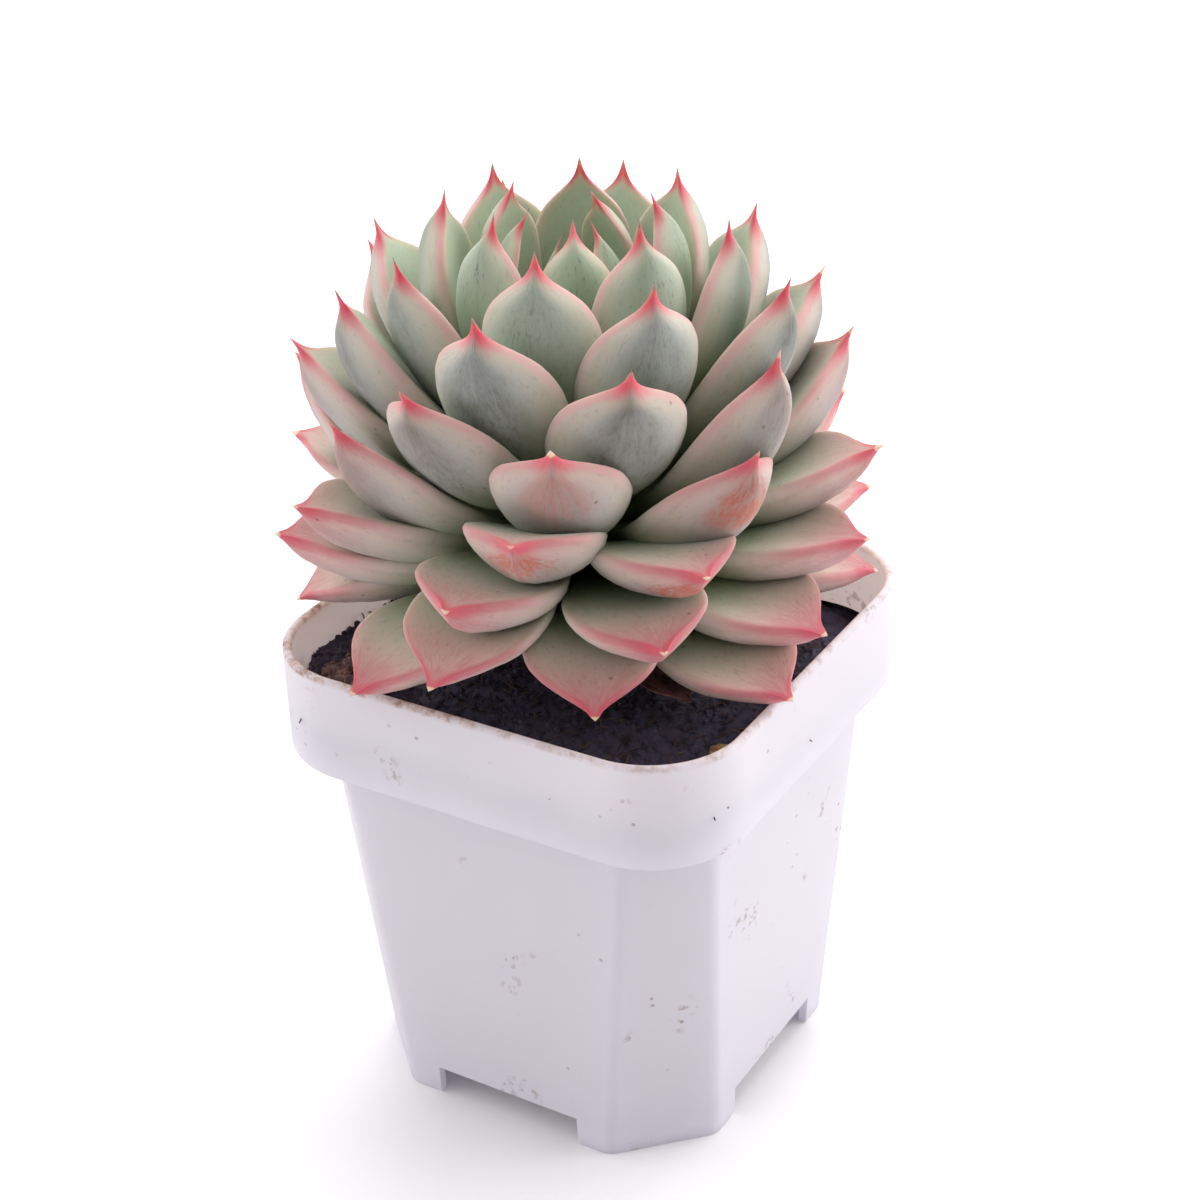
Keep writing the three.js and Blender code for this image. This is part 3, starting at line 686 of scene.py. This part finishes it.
def leaf_material(plant):
    """Bloomed green tissue with a pink line at the margins and a crimson tip."""
    material, tree, shader, place = material_tree("succulent leaf")
    rim_highlight, needle, speck = (0.74, 0.66, 0.62), (0.11, 0.05, 0.06), (0.12, 0.06, 0.04)
    s, x, face, margin, age, own, dry, scar = (attribute(tree, name) for name in LEAF_MARKS)
    edge = x.size()
    back = 1 - smooth(face, -0.2, 0.2)
    old = smooth(age, 0.3, 0.85)
    young = 1 - smooth(age, 0.08, 0.3)
    streak_place = node_of(tree, "ShaderNodeCombineXYZ", X=x * 4, Y=s * 1.6, Z=own)
    streak = noised(tree, streak_place, 2.0, 4, 0.6)
    fleck_place = node_of(tree, "ShaderNodeCombineXYZ", X=x * 9, Y=s * 17, Z=own)
    flecks = noised(tree, fleck_place, 1.7, 4, 0.7)
    drift = noised(tree, place, 75, 3)
    wander = (drift - 0.5) * 0.3
    veer = streak - 0.5

    def tint(below, colour_of, amount):
        return mixed(tree, amount.joined("MINIMUM", 1.0).joined("MAXIMUM", 0.0), below, tuple(colour_of))

    # Green tissue under its bloom, with painted shade along the outer side's middle and painted side light on
    # its flanks.
    outer = mixed(tree, smooth(edge, 0.3, 0.95), tuple(plant.back), tuple(plant.lit_flank))
    tissue = mixed(tree, back, tuple(plant.face), outer)
    powder = smooth(drift * 0.5 + flecks * 0.5, 0.38, 0.62)
    tissue = tint(tissue, plant.bloom, powder * (0.2 + back * 0.2))
    tissue = tint(tissue, plant.face, young * 0.65)
    tissue = tint(tissue, plant.lime, (1 - smooth(s + wander * 0.3, 0.22, 0.72)) * 0.8)
    inside_margin = 1 - smooth(margin + wander * 0.5, 0.05, 0.3)
    tissue = tint(tissue, plant.peach, inside_margin * smooth(s, 0.4, 0.7) * 0.55)
    tissue = tint(tissue, plant.flush, smooth(s + wander * 0.5, 0.45, 0.9) * old * 0.75)

    # Scuffs along the back, and a painted highlight along the margins where light grazes the edges.
    middle = 1 - smooth(edge, 0.1, 0.75)
    scuffs = smooth(streak * 0.4 + flecks * 0.6, 0.48, 0.64) * smooth(s, 0.6, 0.8) * middle * back
    tissue = tint(tissue, plant.smudge, scuffs * (1 - old * 0.6) * 0.45 + smooth(flecks, 0.52, 0.66) * 0.2)
    # Painted highlight: the margins are lightened for light grazing the edges.
    grazing_highlight = smooth(edge, 0.93, 0.99) * (1 - smooth(s, 0.75, 0.9)) * smooth(s, 0.2, 0.5)
    tissue = tint(tissue, rim_highlight, grazing_highlight * 0.5)

    # Pink margins, a red keel and a crimson tip.
    pink_line = (1 - smooth(margin + wander * 0.08, 0.005, 0.06)) * smooth(s, 0.55, 0.85)
    tissue = tint(tissue, plant.blush, pink_line * (0.75 - old * 0.25))
    keel = (1 - smooth(edge, 0.01, 0.06)) * smooth(s, 0.6, 0.78) * back * old * 0.6
    patchy = smooth(flecks * 0.4 + drift * 0.6, 0.32, 0.62)
    warm = smooth(s + wander * 0.35 + veer * 0.12, 0.7, 1.0) * old * (0.4 + patchy * 0.5)
    tissue = tint(tissue, plant.rose, warm + keel)
    band = (1 - smooth(margin + veer * 0.1, 0.0, 0.13)) * smooth(s + wander * 0.3, 0.62, 0.86) * old * 0.55
    tissue = tint(tissue, plant.rose, band)
    fire = (1 - smooth(margin + veer * 0.12, 0.02, 0.17)) * smooth(s, 0.87, 0.95)
    tissue = tint(tissue, plant.crimson, fire * (0.95 - old * 0.45))
    tissue = tint(tissue, needle, smooth(s, 0.968, 0.988) * (1 - smooth(age, 0.3, 0.5)) * 0.85)

    # Scars, dried ends and dark specks.
    wound = smooth(s, 0.7, 0.78) * (1 - smooth(s, 0.9, 0.94)) * (1 - smooth(edge, 0.45, 0.75)) * back * scar
    wound = wound * smooth(flecks * 0.6 + drift * 0.5 + streak * 0.12, 0.5, 0.68)
    tissue = tint(tissue, plant.rust, wound * 0.95)
    drying = (smooth(age, 0.5, 0.7) + dry).joined("MINIMUM", 1.0)
    tissue = tint(tissue, plant.straw, drying * smooth(s + dry * 0.012, 0.979, 0.989) * 0.85)
    pits = node_of(tree, "ShaderNodeTexVoronoi", Vector=place, Scale=380.0)
    rare = noised(tree, place, 130, 1)
    specks = (1 - smooth(pits, 0.07, 0.14)) * smooth(rare, 0.58, 0.64) * smooth(age, 0.2, 0.5)
    tissue = tint(tissue, speck, specks * 0.6)

    plug(tree, tissue, shader.inputs["Base Color"])
    plug(tree, 0.52 + powder * 0.14 - fire * 0.1 + wound * 0.2, shader.inputs["Roughness"])
    shader.inputs["Subsurface Weight"].default_value = 0.3
    shader.inputs["Subsurface Radius"].default_value = (1.0, 0.7, 0.45)
    shader.inputs["Subsurface Scale"].default_value = 3 * MM
    shader.inputs["Specular IOR Level"].default_value = 0.4
    shader.inputs["Sheen Weight"].default_value = 0.12
    shader.inputs["Sheen Roughness"].default_value = 0.5
    relief = flecks * 0.4 + streak * 0.3 + noised(tree, place, 1400, 2) * 0.2 - specks * 0.5
    bumped(tree, shader, relief + wound * flecks * 2, 0.12 * MM, 0.45)
    return material


def build_leaves(plant):
    tree = leaf_tree()
    skin = leaf_material(plant)
    made = []
    for n in range(plant.leaves):
        blade = leaf_blank(f"leaf_blade_{n:02d}")
        grow(blade, tree, {**leaf_shape(plant, n), "Material": skin})
        made.append(blade)
    heart = made[:plant.heart_leaves]
    heart.append(bud_core(plant, skin))
    for n, blade in enumerate(made[plant.heart_leaves:], start=1):
        hand_over(blade, "leaf", f"leaf_{n:02d}")
    whole = join("heart_leaves", heart)
    hand_over(whole, "leaf", "heart")


def join(name, objects):
    """Makes one object of several."""
    with bpy.context.temp_override(active_object=objects[0], selected_editable_objects=objects):
        bpy.ops.object.join()
    objects[0].name = name
    return objects[0]


def bud_core(plant, skin):
    """The short core that the youngest leaves grow on."""
    axis = POT_MIDDLE + Vector((plant.offset, 0, 0))
    rings = []
    for i in range(9):
        z = BUD_CORE_FOOT + i / 8 * BUD_CORE_HEIGHT
        radius = neck_radius(z) + 0.4 * MM
        rings.append([axis + p for p in ring_of(radius, 20, z * MM)])
    piece = mesh_object("bud_core", *lofted(rings))
    for name in LEAF_MARKS:
        piece.data.attributes.new(name, "FLOAT", "POINT")
    soften(piece)
    paint(piece, skin)
    return piece


# ---- soil
def soil_height(soil, inwards):
    """The soil's height, from 0 at the wall to 1 at the stem."""
    swell = math.sin(min(inwards, 1) * math.pi / 2)
    return soil.edge_height + swell * (soil.crown_height - soil.edge_height)


def build_soil(soil, pot):
    bed = soil_bed(soil, pot)
    earth = soil_material(soil)
    paint(bed, earth)
    hand_over(bed, "soil", "soil")
    above = soil.edge_height - 1 * MM
    heap_place = POT_MIDDLE + Vector((-26 * MM, -24 * MM, soil.edge_height))
    strewn = crumb_tree()
    scatter("soil_crumbs", bed.data.copy(), strewn, {
        "Density": soil.crumbs * 100.0, "Smallest": soil.crumb * 0.16, "Largest": soil.crumb, "Seed": 11,
        "Detail": 1, "Above": above, "Material": earth})
    scatter("soil_clods", near(bed.data, heap_place, 7 * MM), strewn, {
        "Density": soil.clods * 100.0, "Smallest": soil.crumb, "Largest": soil.crumb * 2.2, "Seed": 3,
        "Detail": 3, "Above": above, "Material": clod_material()})
    scatter("soil_fibres", bed.data.copy(), fibre_tree(), {
        "Density": soil.fibres * 100.0, "Length": 4.2 * MM, "Radius": 0.11 * MM, "Seed": 5,
        "Above": above, "Material": fibre_material()})


def soil_bed(soil, pot):
    """The lumpy bed: it fills the pot, has sunk at the right back corner and is heaped at the left one."""
    steps = 24
    gap = pot.wall + 0.05 * MM
    ledge = pot.height - pot.collar_height
    rings = [body_ring(pot, pot.wall + 0.3 * MM, pot.foot_height + 1.8 * MM, steps),
             body_ring(pot, pot.wall + 0.3 * MM, ledge - 0.3 * MM, steps),
             collar_ring(pot, gap, ledge + pot.wall + 0.5 * MM, steps),
             collar_ring(pot, gap, soil.edge_height - 2 * MM, steps)]
    inner_rings = 70
    corner = pot.collar_width / 2 - pot.collar_corner * 0.35
    hollow_place = POT_MIDDLE + Vector((corner, corner, 0))
    mound_place = POT_MIDDLE - Vector((corner, corner * 0.8, 0))
    for k in range(inner_rings):
        inwards = k / inner_rings
        ring = []
        for p in collar_ring(pot, gap, 0, steps):
            q = POT_MIDDLE + (p - POT_MIDDLE) * (1 - inwards)
            lumps = noise.fractal(q / (9 * MM), 1.0, 2.0, 3) * 1.1 * MM
            crumbs = noise.fractal(q / (1.6 * MM) + Vector((7, 3, 1)), 0.8, 2.1, 3) * 0.55 * MM
            hollow = 1 - eased((q - hollow_place).length, 6 * MM, 17 * MM)
            mound = 1 - eased((q - mound_place).length, 5 * MM, 17 * MM)
            clods = noise.fractal(q / (3.0 * MM) + Vector((1, 9, 4)), 0.7, 2.1, 4) * 2.8 * MM
            rise = lumps + crumbs - hollow * soil.hollow + mound * (clods + 1.6 * MM)
            ring.append(Vector((q.x, q.y, soil_height(soil, inwards) + rise)))
        rings.append(ring)
    bed = mesh_object("soil_bed", *lofted(rings))
    soften(bed, 180)
    return bed


def near(mesh, place, reach):
    """A copy of the faces of a mesh that lie near a place."""
    mesh = mesh.copy()
    shape = bmesh.new()
    shape.from_mesh(mesh)
    far = [face for face in shape.faces if (face.calc_center_median() - place).length > reach]
    bmesh.ops.delete(shape, geom=far, context="FACES")
    shape.to_mesh(mesh)
    shape.free()
    return mesh


def scatter(name, bed, tree, values):
    """Strews loose bits over a bed by a tree."""
    piece = bpy.data.objects.new(name, bed)
    bpy.context.scene.collection.objects.link(piece)
    grow(piece, tree, values)
    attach(piece, "root")
    return piece


def scattered_points(tree, given):
    """Random points on the parts of a bed above a height, and how they are turned."""
    z = node_of(tree, "GeometryNodeInputPosition").parts()[2]
    top = z.joined("GREATER_THAN", given["Above"])
    points = tree.nodes.new("GeometryNodeDistributePointsOnFaces")
    values = {"Mesh": given["Geometry"], "Selection": top, "Density": given["Density"], "Seed": given["Seed"]}
    for name, value in values.items():
        plug(tree, value, points.inputs[name])
    return Wire(tree, points.outputs["Points"]), Wire(tree, points.outputs["Rotation"])


def random_value(tree, low, high, seed, vector=False):
    kind = "FLOAT_VECTOR" if vector else "FLOAT"
    return node_of(tree, "FunctionNodeRandomValue", {"data_type": kind}, Min=low, Max=high, Seed=seed)


def crumb_tree():
    """Strews irregular crumbs over the upper side of a bed."""
    tree, given = geometry_tree("Soil crumbs", {
        "Density": "Float", "Smallest": "Float", "Largest": "Float", "Above": "Float", "Seed": "Int",
        "Detail": "Int", "Material": "Material"})
    points, _ = scattered_points(tree, given)
    crumb = node_of(tree, "GeometryNodeMeshIcoSphere", Radius=0.5, Subdivisions=given["Detail"])
    chance = random_value(tree, 0.0, 1.0, 3)
    size = given["Smallest"] + (given["Largest"] - given["Smallest"]) * chance ** 3.0
    stretch = random_value(tree, (0.6, 0.6, 0.5), (1.4, 1.1, 0.9), 8, vector=True)
    turn = random_value(tree, (0, 0, 0), (6.28, 6.28, 6.28), 4, vector=True)
    placed = node_of(tree, "GeometryNodeInstanceOnPoints",
                     Points=points, Instance=crumb, Rotation=turn, Scale=stretch * size)
    real = node_of(tree, "GeometryNodeRealizeInstances", Geometry=placed)
    place = node_of(tree, "GeometryNodeInputPosition")
    rough = noised(tree, place, 1100, 2) - 0.5
    normal = node_of(tree, "GeometryNodeInputNormal")
    pushed = node_of(tree, "GeometryNodeSetPosition", Geometry=real, Offset=normal * (rough * 0.5 * MM))
    flat = node_of(tree, "GeometryNodeSetShadeSmooth", Geometry=pushed, Shade_Smooth=False)
    end_tree(tree, flat, given["Material"])
    return tree


def fibre_tree():
    """Strews thin bent fibres over the upper side of a bed."""
    tree, given = geometry_tree("Soil fibres", {
        "Density": "Float", "Length": "Float", "Radius": "Float", "Above": "Float", "Seed": "Int",
        "Material": "Material"})
    points, _ = scattered_points(tree, given)
    line = node_of(tree, "GeometryNodeCurveQuadraticBezier",
                   Resolution=6, Start=(-0.5, 0, 0), Middle=(0, 0.35, 0.2), End=(0.5, 0, 0))
    turn = random_value(tree, (-0.5, -0.5, 0), (0.5, 0.5, 6.28), 4, vector=True)
    size = random_value(tree, 0.3, 1.0, 6) * given["Length"]
    placed = node_of(tree, "GeometryNodeInstanceOnPoints",
                     Points=points, Instance=line, Rotation=turn, Scale=size)
    real = node_of(tree, "GeometryNodeRealizeInstances", Geometry=placed)
    ring = node_of(tree, "GeometryNodeCurvePrimitiveCircle", {"mode": "RADIUS"},
                   Resolution=4, Radius=given["Radius"])
    mesh = tree.nodes.new("GeometryNodeCurveToMesh")
    plug(tree, real, mesh.inputs["Curve"])
    plug(tree, ring, mesh.inputs["Profile Curve"])
    mesh.inputs["Fill Caps"].default_value = True
    end_tree(tree, Wire(tree, mesh.outputs[0]), given["Material"])
    return tree


def soil_material(soil):
    material, tree, shader, place = material_tree("peat soil")
    big = noised(tree, place, 150, 4, 0.6)
    grain = noised(tree, place, 900, 5, 0.7)
    bits = node_of(tree, "ShaderNodeTexVoronoi", Vector=place, Scale=600.0)
    crevice_shade = srgb(30, 27, 33)
    dryness = smooth(grain * 0.6 + big * 0.4, 0.42, 0.75) * 0.55
    tone = mixed(tree, dryness, tuple(soil.dark), tuple(soil.light))
    # Painted shade: the gaps between grains are darkened with a near-black colour.
    shaded_tone = mixed(tree, smooth(bits, 0.5, 0.8) * 0.6, tone, crevice_shade)
    plug(tree, shaded_tone, shader.inputs["Base Color"])
    shader.inputs["Roughness"].default_value = 0.92
    bumped(tree, shader, grain + bits * 0.6, 0.35 * MM, 0.9)
    return material


def clod_material():
    material, tree, shader, place = material_tree("dry clods")
    damp, dry = srgb(62, 46, 50), srgb(138, 108, 98)
    grain = noised(tree, place, 700, 5, 0.7)
    plug(tree, mixed(tree, smooth(grain, 0.35, 0.68), damp, dry), shader.inputs["Base Color"])
    shader.inputs["Roughness"].default_value = 0.95
    bumped(tree, shader, grain, 0.4 * MM, 0.9)
    return material


def fibre_material():
    material, tree, shader, place = material_tree("peat fibre")
    damp, dry = srgb(48, 36, 36), srgb(104, 82, 70)
    tone = noised(tree, place, 200, 2)
    plug(tree, mixed(tree, smooth(tone, 0.35, 0.7), damp, dry), shader.inputs["Base Color"])
    shader.inputs["Roughness"].default_value = 0.85
    return material


# ---- stem, dry leaf and chip
def build_stem():
    material, tree, shader, place = material_tree("corky stem")
    cork, green = srgb(128, 104, 74), srgb(176, 168, 120)
    rings = noised(tree, place * (1, 1, 3), 300, 4, 0.6)
    plug(tree, mixed(tree, smooth(rings, 0.3, 0.7), cork, green), shader.inputs["Base Color"])
    shader.inputs["Roughness"].default_value = 0.8
    bumped(tree, shader, rings, 0.4 * MM)
    paint(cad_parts["stem"], material)


def build_withered_leaf(plant):
    """The oldest leaf, thin and dry, that lies on the soil."""
    material, tree, shader, place = material_tree("withered skin")
    dark, light = srgb(74, 40, 48), srgb(150, 104, 104)
    crease = noised(tree, place, 350, 4, 0.65)
    plug(tree, mixed(tree, smooth(crease, 0.35, 0.65), dark, light), shader.inputs["Base Color"])
    shader.inputs["Roughness"].default_value = 0.7
    bumped(tree, shader, crease, 0.5 * MM)
    neck_height = 79
    neck = Vector((neck_radius(neck_height), 0, neck_height * MM))
    tip = Vector((31 * MM, 0, 75.5 * MM))
    chord = tip - neck
    belly = (neck + tip) / 2 + Vector((chord.z, 0, -chord.x)) * 0.06
    blade = leaf_blank("dry_leaf", 24, 40)
    grow(blade, leaf_tree(), {
        "Neck": neck, "Belly": belly, "Tip": tip, "Axis": POT_MIDDLE + Vector((plant.offset, 0, 0)),
        "Turn": math.radians(331), "Roll": 0.1, "Width": 9 * MM, "Thickness": 1.4 * MM, "Cup": 0.3,
        "Ripple": 0.3, "Age": 1.0, "Own": 4.0, "Dry": 1.0, "Scar": 0.0, "Material": material})
    hand_over(blade, "withered", "withered_leaf")


def build_bark_chip():
    """A worn flake of bark on the soil."""
    bark, tree, shader, place = material_tree("bark")
    dark, light = srgb(120, 84, 58), srgb(206, 164, 124)
    grain = noised(tree, place * (1, 4, 1), 300, 4, 0.7)
    plug(tree, mixed(tree, smooth(grain, 0.35, 0.65), dark, light), shader.inputs["Base Color"])
    shader.inputs["Roughness"].default_value = 0.85
    bumped(tree, shader, grain, 0.4 * MM)
    low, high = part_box("bark_chip")
    half = (high - low) / 2
    middle = (low + high) / 2
    chip = mesh_object("bark_flake", [], [])
    shape = bmesh.new()
    bmesh.ops.create_icosphere(shape, subdivisions=3, radius=1)
    for vert in shape.verts:
        vert.co = vert.co * half
        vert.co += vert.normal * noise.fractal(vert.co / (1.2 * MM), 0.8, 2.0, 3) * 0.35 * MM
        vert.co += middle
    shape.to_mesh(chip.data)
    shape.free()
    paint(chip, bark)
    hand_over(chip, "bark", "bark_chip")


# ---- stage
def build_stage(stage):
    bpy.context.scene.view_settings.view_transform = "Standard"
    build_floor()
    build_surroundings(stage)
    soft_light("window", stage.window, (0.9, 0.74, 0.5), 0.9)
    soft_light("front", stage.front, (0.35, -0.6, 0.95), 0.8)
    soft_light("side", stage.side, (-0.95, -0.35, 0.4), 0.9)
    soft_light("overhead", stage.overhead, (-0.15, 0.55, 0.95), 1.0)
    place_camera(stage)


def build_floor():
    half = 40
    corners = [(-half, -half, 0), (half, -half, 0), (half, half, 0), (-half, half, 0)]
    floor = mesh_object("floor", corners, [(0, 1, 2, 3)])
    material, tree, shader, place = material_tree("white board")
    first, second = (0.88, 0.865, 0.88), (0.9, 0.885, 0.9)
    plug(tree, mixed(tree, noised(tree, place, 6, 2), first, second), shader.inputs["Base Color"])
    shader.inputs["Roughness"].default_value = 0.6
    paint(floor, material)


def build_surroundings(stage):
    """White all round, but for the darker room in front of the pot."""
    world = bpy.data.worlds.new("white surroundings")
    world.use_nodes = True
    tree = world.node_tree
    facing = node_of(tree, "ShaderNodeTexCoord").joined("DOT_PRODUCT", (0.68, -0.73, -0.05))
    room = smooth(facing, 0.45, 0.95)
    background = tree.nodes["Background"]
    background.inputs["Color"].default_value = (1, 0.985, 1, 1)
    plug(tree, stage.sky + room * (stage.room - stage.sky), background.inputs["Strength"])
    bpy.context.scene.world = world


def place_camera(stage):
    scene = bpy.context.scene
    camera = bpy.data.objects.new("camera", bpy.data.cameras.new("camera"))
    scene.collection.objects.link(camera)
    camera.data.sensor_width = 36
    camera.data.lens = stage.lens
    camera.data.clip_start = 0.01
    az, el, roll = stage.azimuth, stage.elevation, stage.roll
    back = Vector((math.sin(az) * math.cos(el), -math.cos(az) * math.cos(el), math.sin(el)))
    level = Vector((math.cos(az), math.sin(az), 0))
    right = (level * math.cos(roll) + back.cross(level) * math.sin(roll)).normalized()
    up = back.cross(right)
    aim = POT_MIDDLE + Vector((-3.25, 7.23, 74.2)) * MM
    turn = Matrix((right, up, back)).transposed()
    camera.matrix_world = Matrix.Translation(aim + back * stage.distance) @ turn.to_4x4()
    scene.camera = camera


def soft_light(name, power, place, size):
    """A square panel of light, turned to the plant."""
    light = bpy.data.lights.new(name, "AREA")
    light.energy = power
    light.size = size
    holder = bpy.data.objects.new(name, light)
    bpy.context.scene.collection.objects.link(holder)
    holder.location = place
    aim = POT_MIDDLE + Vector((0, 0, 70 * MM))
    holder.rotation_euler = (aim - Vector(place)).to_track_quat("-Z", "Y").to_euler()


# ---- add-on
class SUCCULENT_OT_pot(bpy.types.Operator):
    """Build the nursery pot"""
    bl_idname = "succulent.pot"
    bl_label = "Pot"

    def execute(self, context):
        build_pot(context.scene.succulent_pot)
        return {"FINISHED"}


class SUCCULENT_OT_leaves(bpy.types.Operator):
    """Build every leaf of the rosette"""
    bl_idname = "succulent.leaves"
    bl_label = "Leaves"

    def execute(self, context):
        build_leaves(context.scene.succulent_plant)
        return {"FINISHED"}


class SUCCULENT_OT_stem(bpy.types.Operator):
    """Give the stem its corky skin"""
    bl_idname = "succulent.stem"
    bl_label = "Stem"

    def execute(self, context):
        build_stem()
        return {"FINISHED"}


class SUCCULENT_OT_soil(bpy.types.Operator):
    """Build the soil with its crumbs, clods and fibres"""
    bl_idname = "succulent.soil"
    bl_label = "Soil"

    def execute(self, context):
        build_soil(context.scene.succulent_soil, context.scene.succulent_pot)
        return {"FINISHED"}


class SUCCULENT_OT_litter(bpy.types.Operator):
    """Build the withered leaf and the chip of bark"""
    bl_idname = "succulent.litter"
    bl_label = "Litter"

    def execute(self, context):
        build_withered_leaf(context.scene.succulent_plant)
        build_bark_chip()
        return {"FINISHED"}


class SUCCULENT_OT_stage(bpy.types.Operator):
    """Set up the floor, the lights and the camera"""
    bl_idname = "succulent.stage"
    bl_label = "Stage"

    def execute(self, context):
        build_stage(context.scene.succulent_stage)
        return {"FINISHED"}


OPERATORS = [SUCCULENT_OT_pot, SUCCULENT_OT_leaves, SUCCULENT_OT_stem,
             SUCCULENT_OT_soil, SUCCULENT_OT_litter, SUCCULENT_OT_stage]


class SUCCULENT_PT_panel(bpy.types.Panel):
    """Lists the pieces and their sizes"""
    bl_idname = "SUCCULENT_PT_panel"
    bl_label = "Succulent"
    bl_space_type = "VIEW_3D"
    bl_region_type = "UI"
    bl_category = "Succulent"

    def draw(self, context):
        for operator in OPERATORS:
            self.layout.operator(operator.bl_idname)
        for name, group in SETTINGS.items():
            box = self.layout.box()
            for key in group.__annotations__:
                box.prop(getattr(context.scene, name), key)


def register():
    for group in SETTINGS.values():
        bpy.utils.register_class(group)
    for name, group in SETTINGS.items():
        setattr(bpy.types.Scene, name, PointerProperty(type=group))
    for operator in OPERATORS:
        bpy.utils.register_class(operator)
    bpy.utils.register_class(SUCCULENT_PT_panel)


def unregister():
    bpy.utils.unregister_class(SUCCULENT_PT_panel)
    for operator in reversed(OPERATORS):
        bpy.utils.unregister_class(operator)
    for name, group in SETTINGS.items():
        delattr(bpy.types.Scene, name)
        bpy.utils.unregister_class(group)


def main():
    register()
    for operator in OPERATORS:
        family, name = operator.bl_idname.split(".")
        getattr(getattr(bpy.ops, family), name)()


if __name__ == "__main__":
    main()
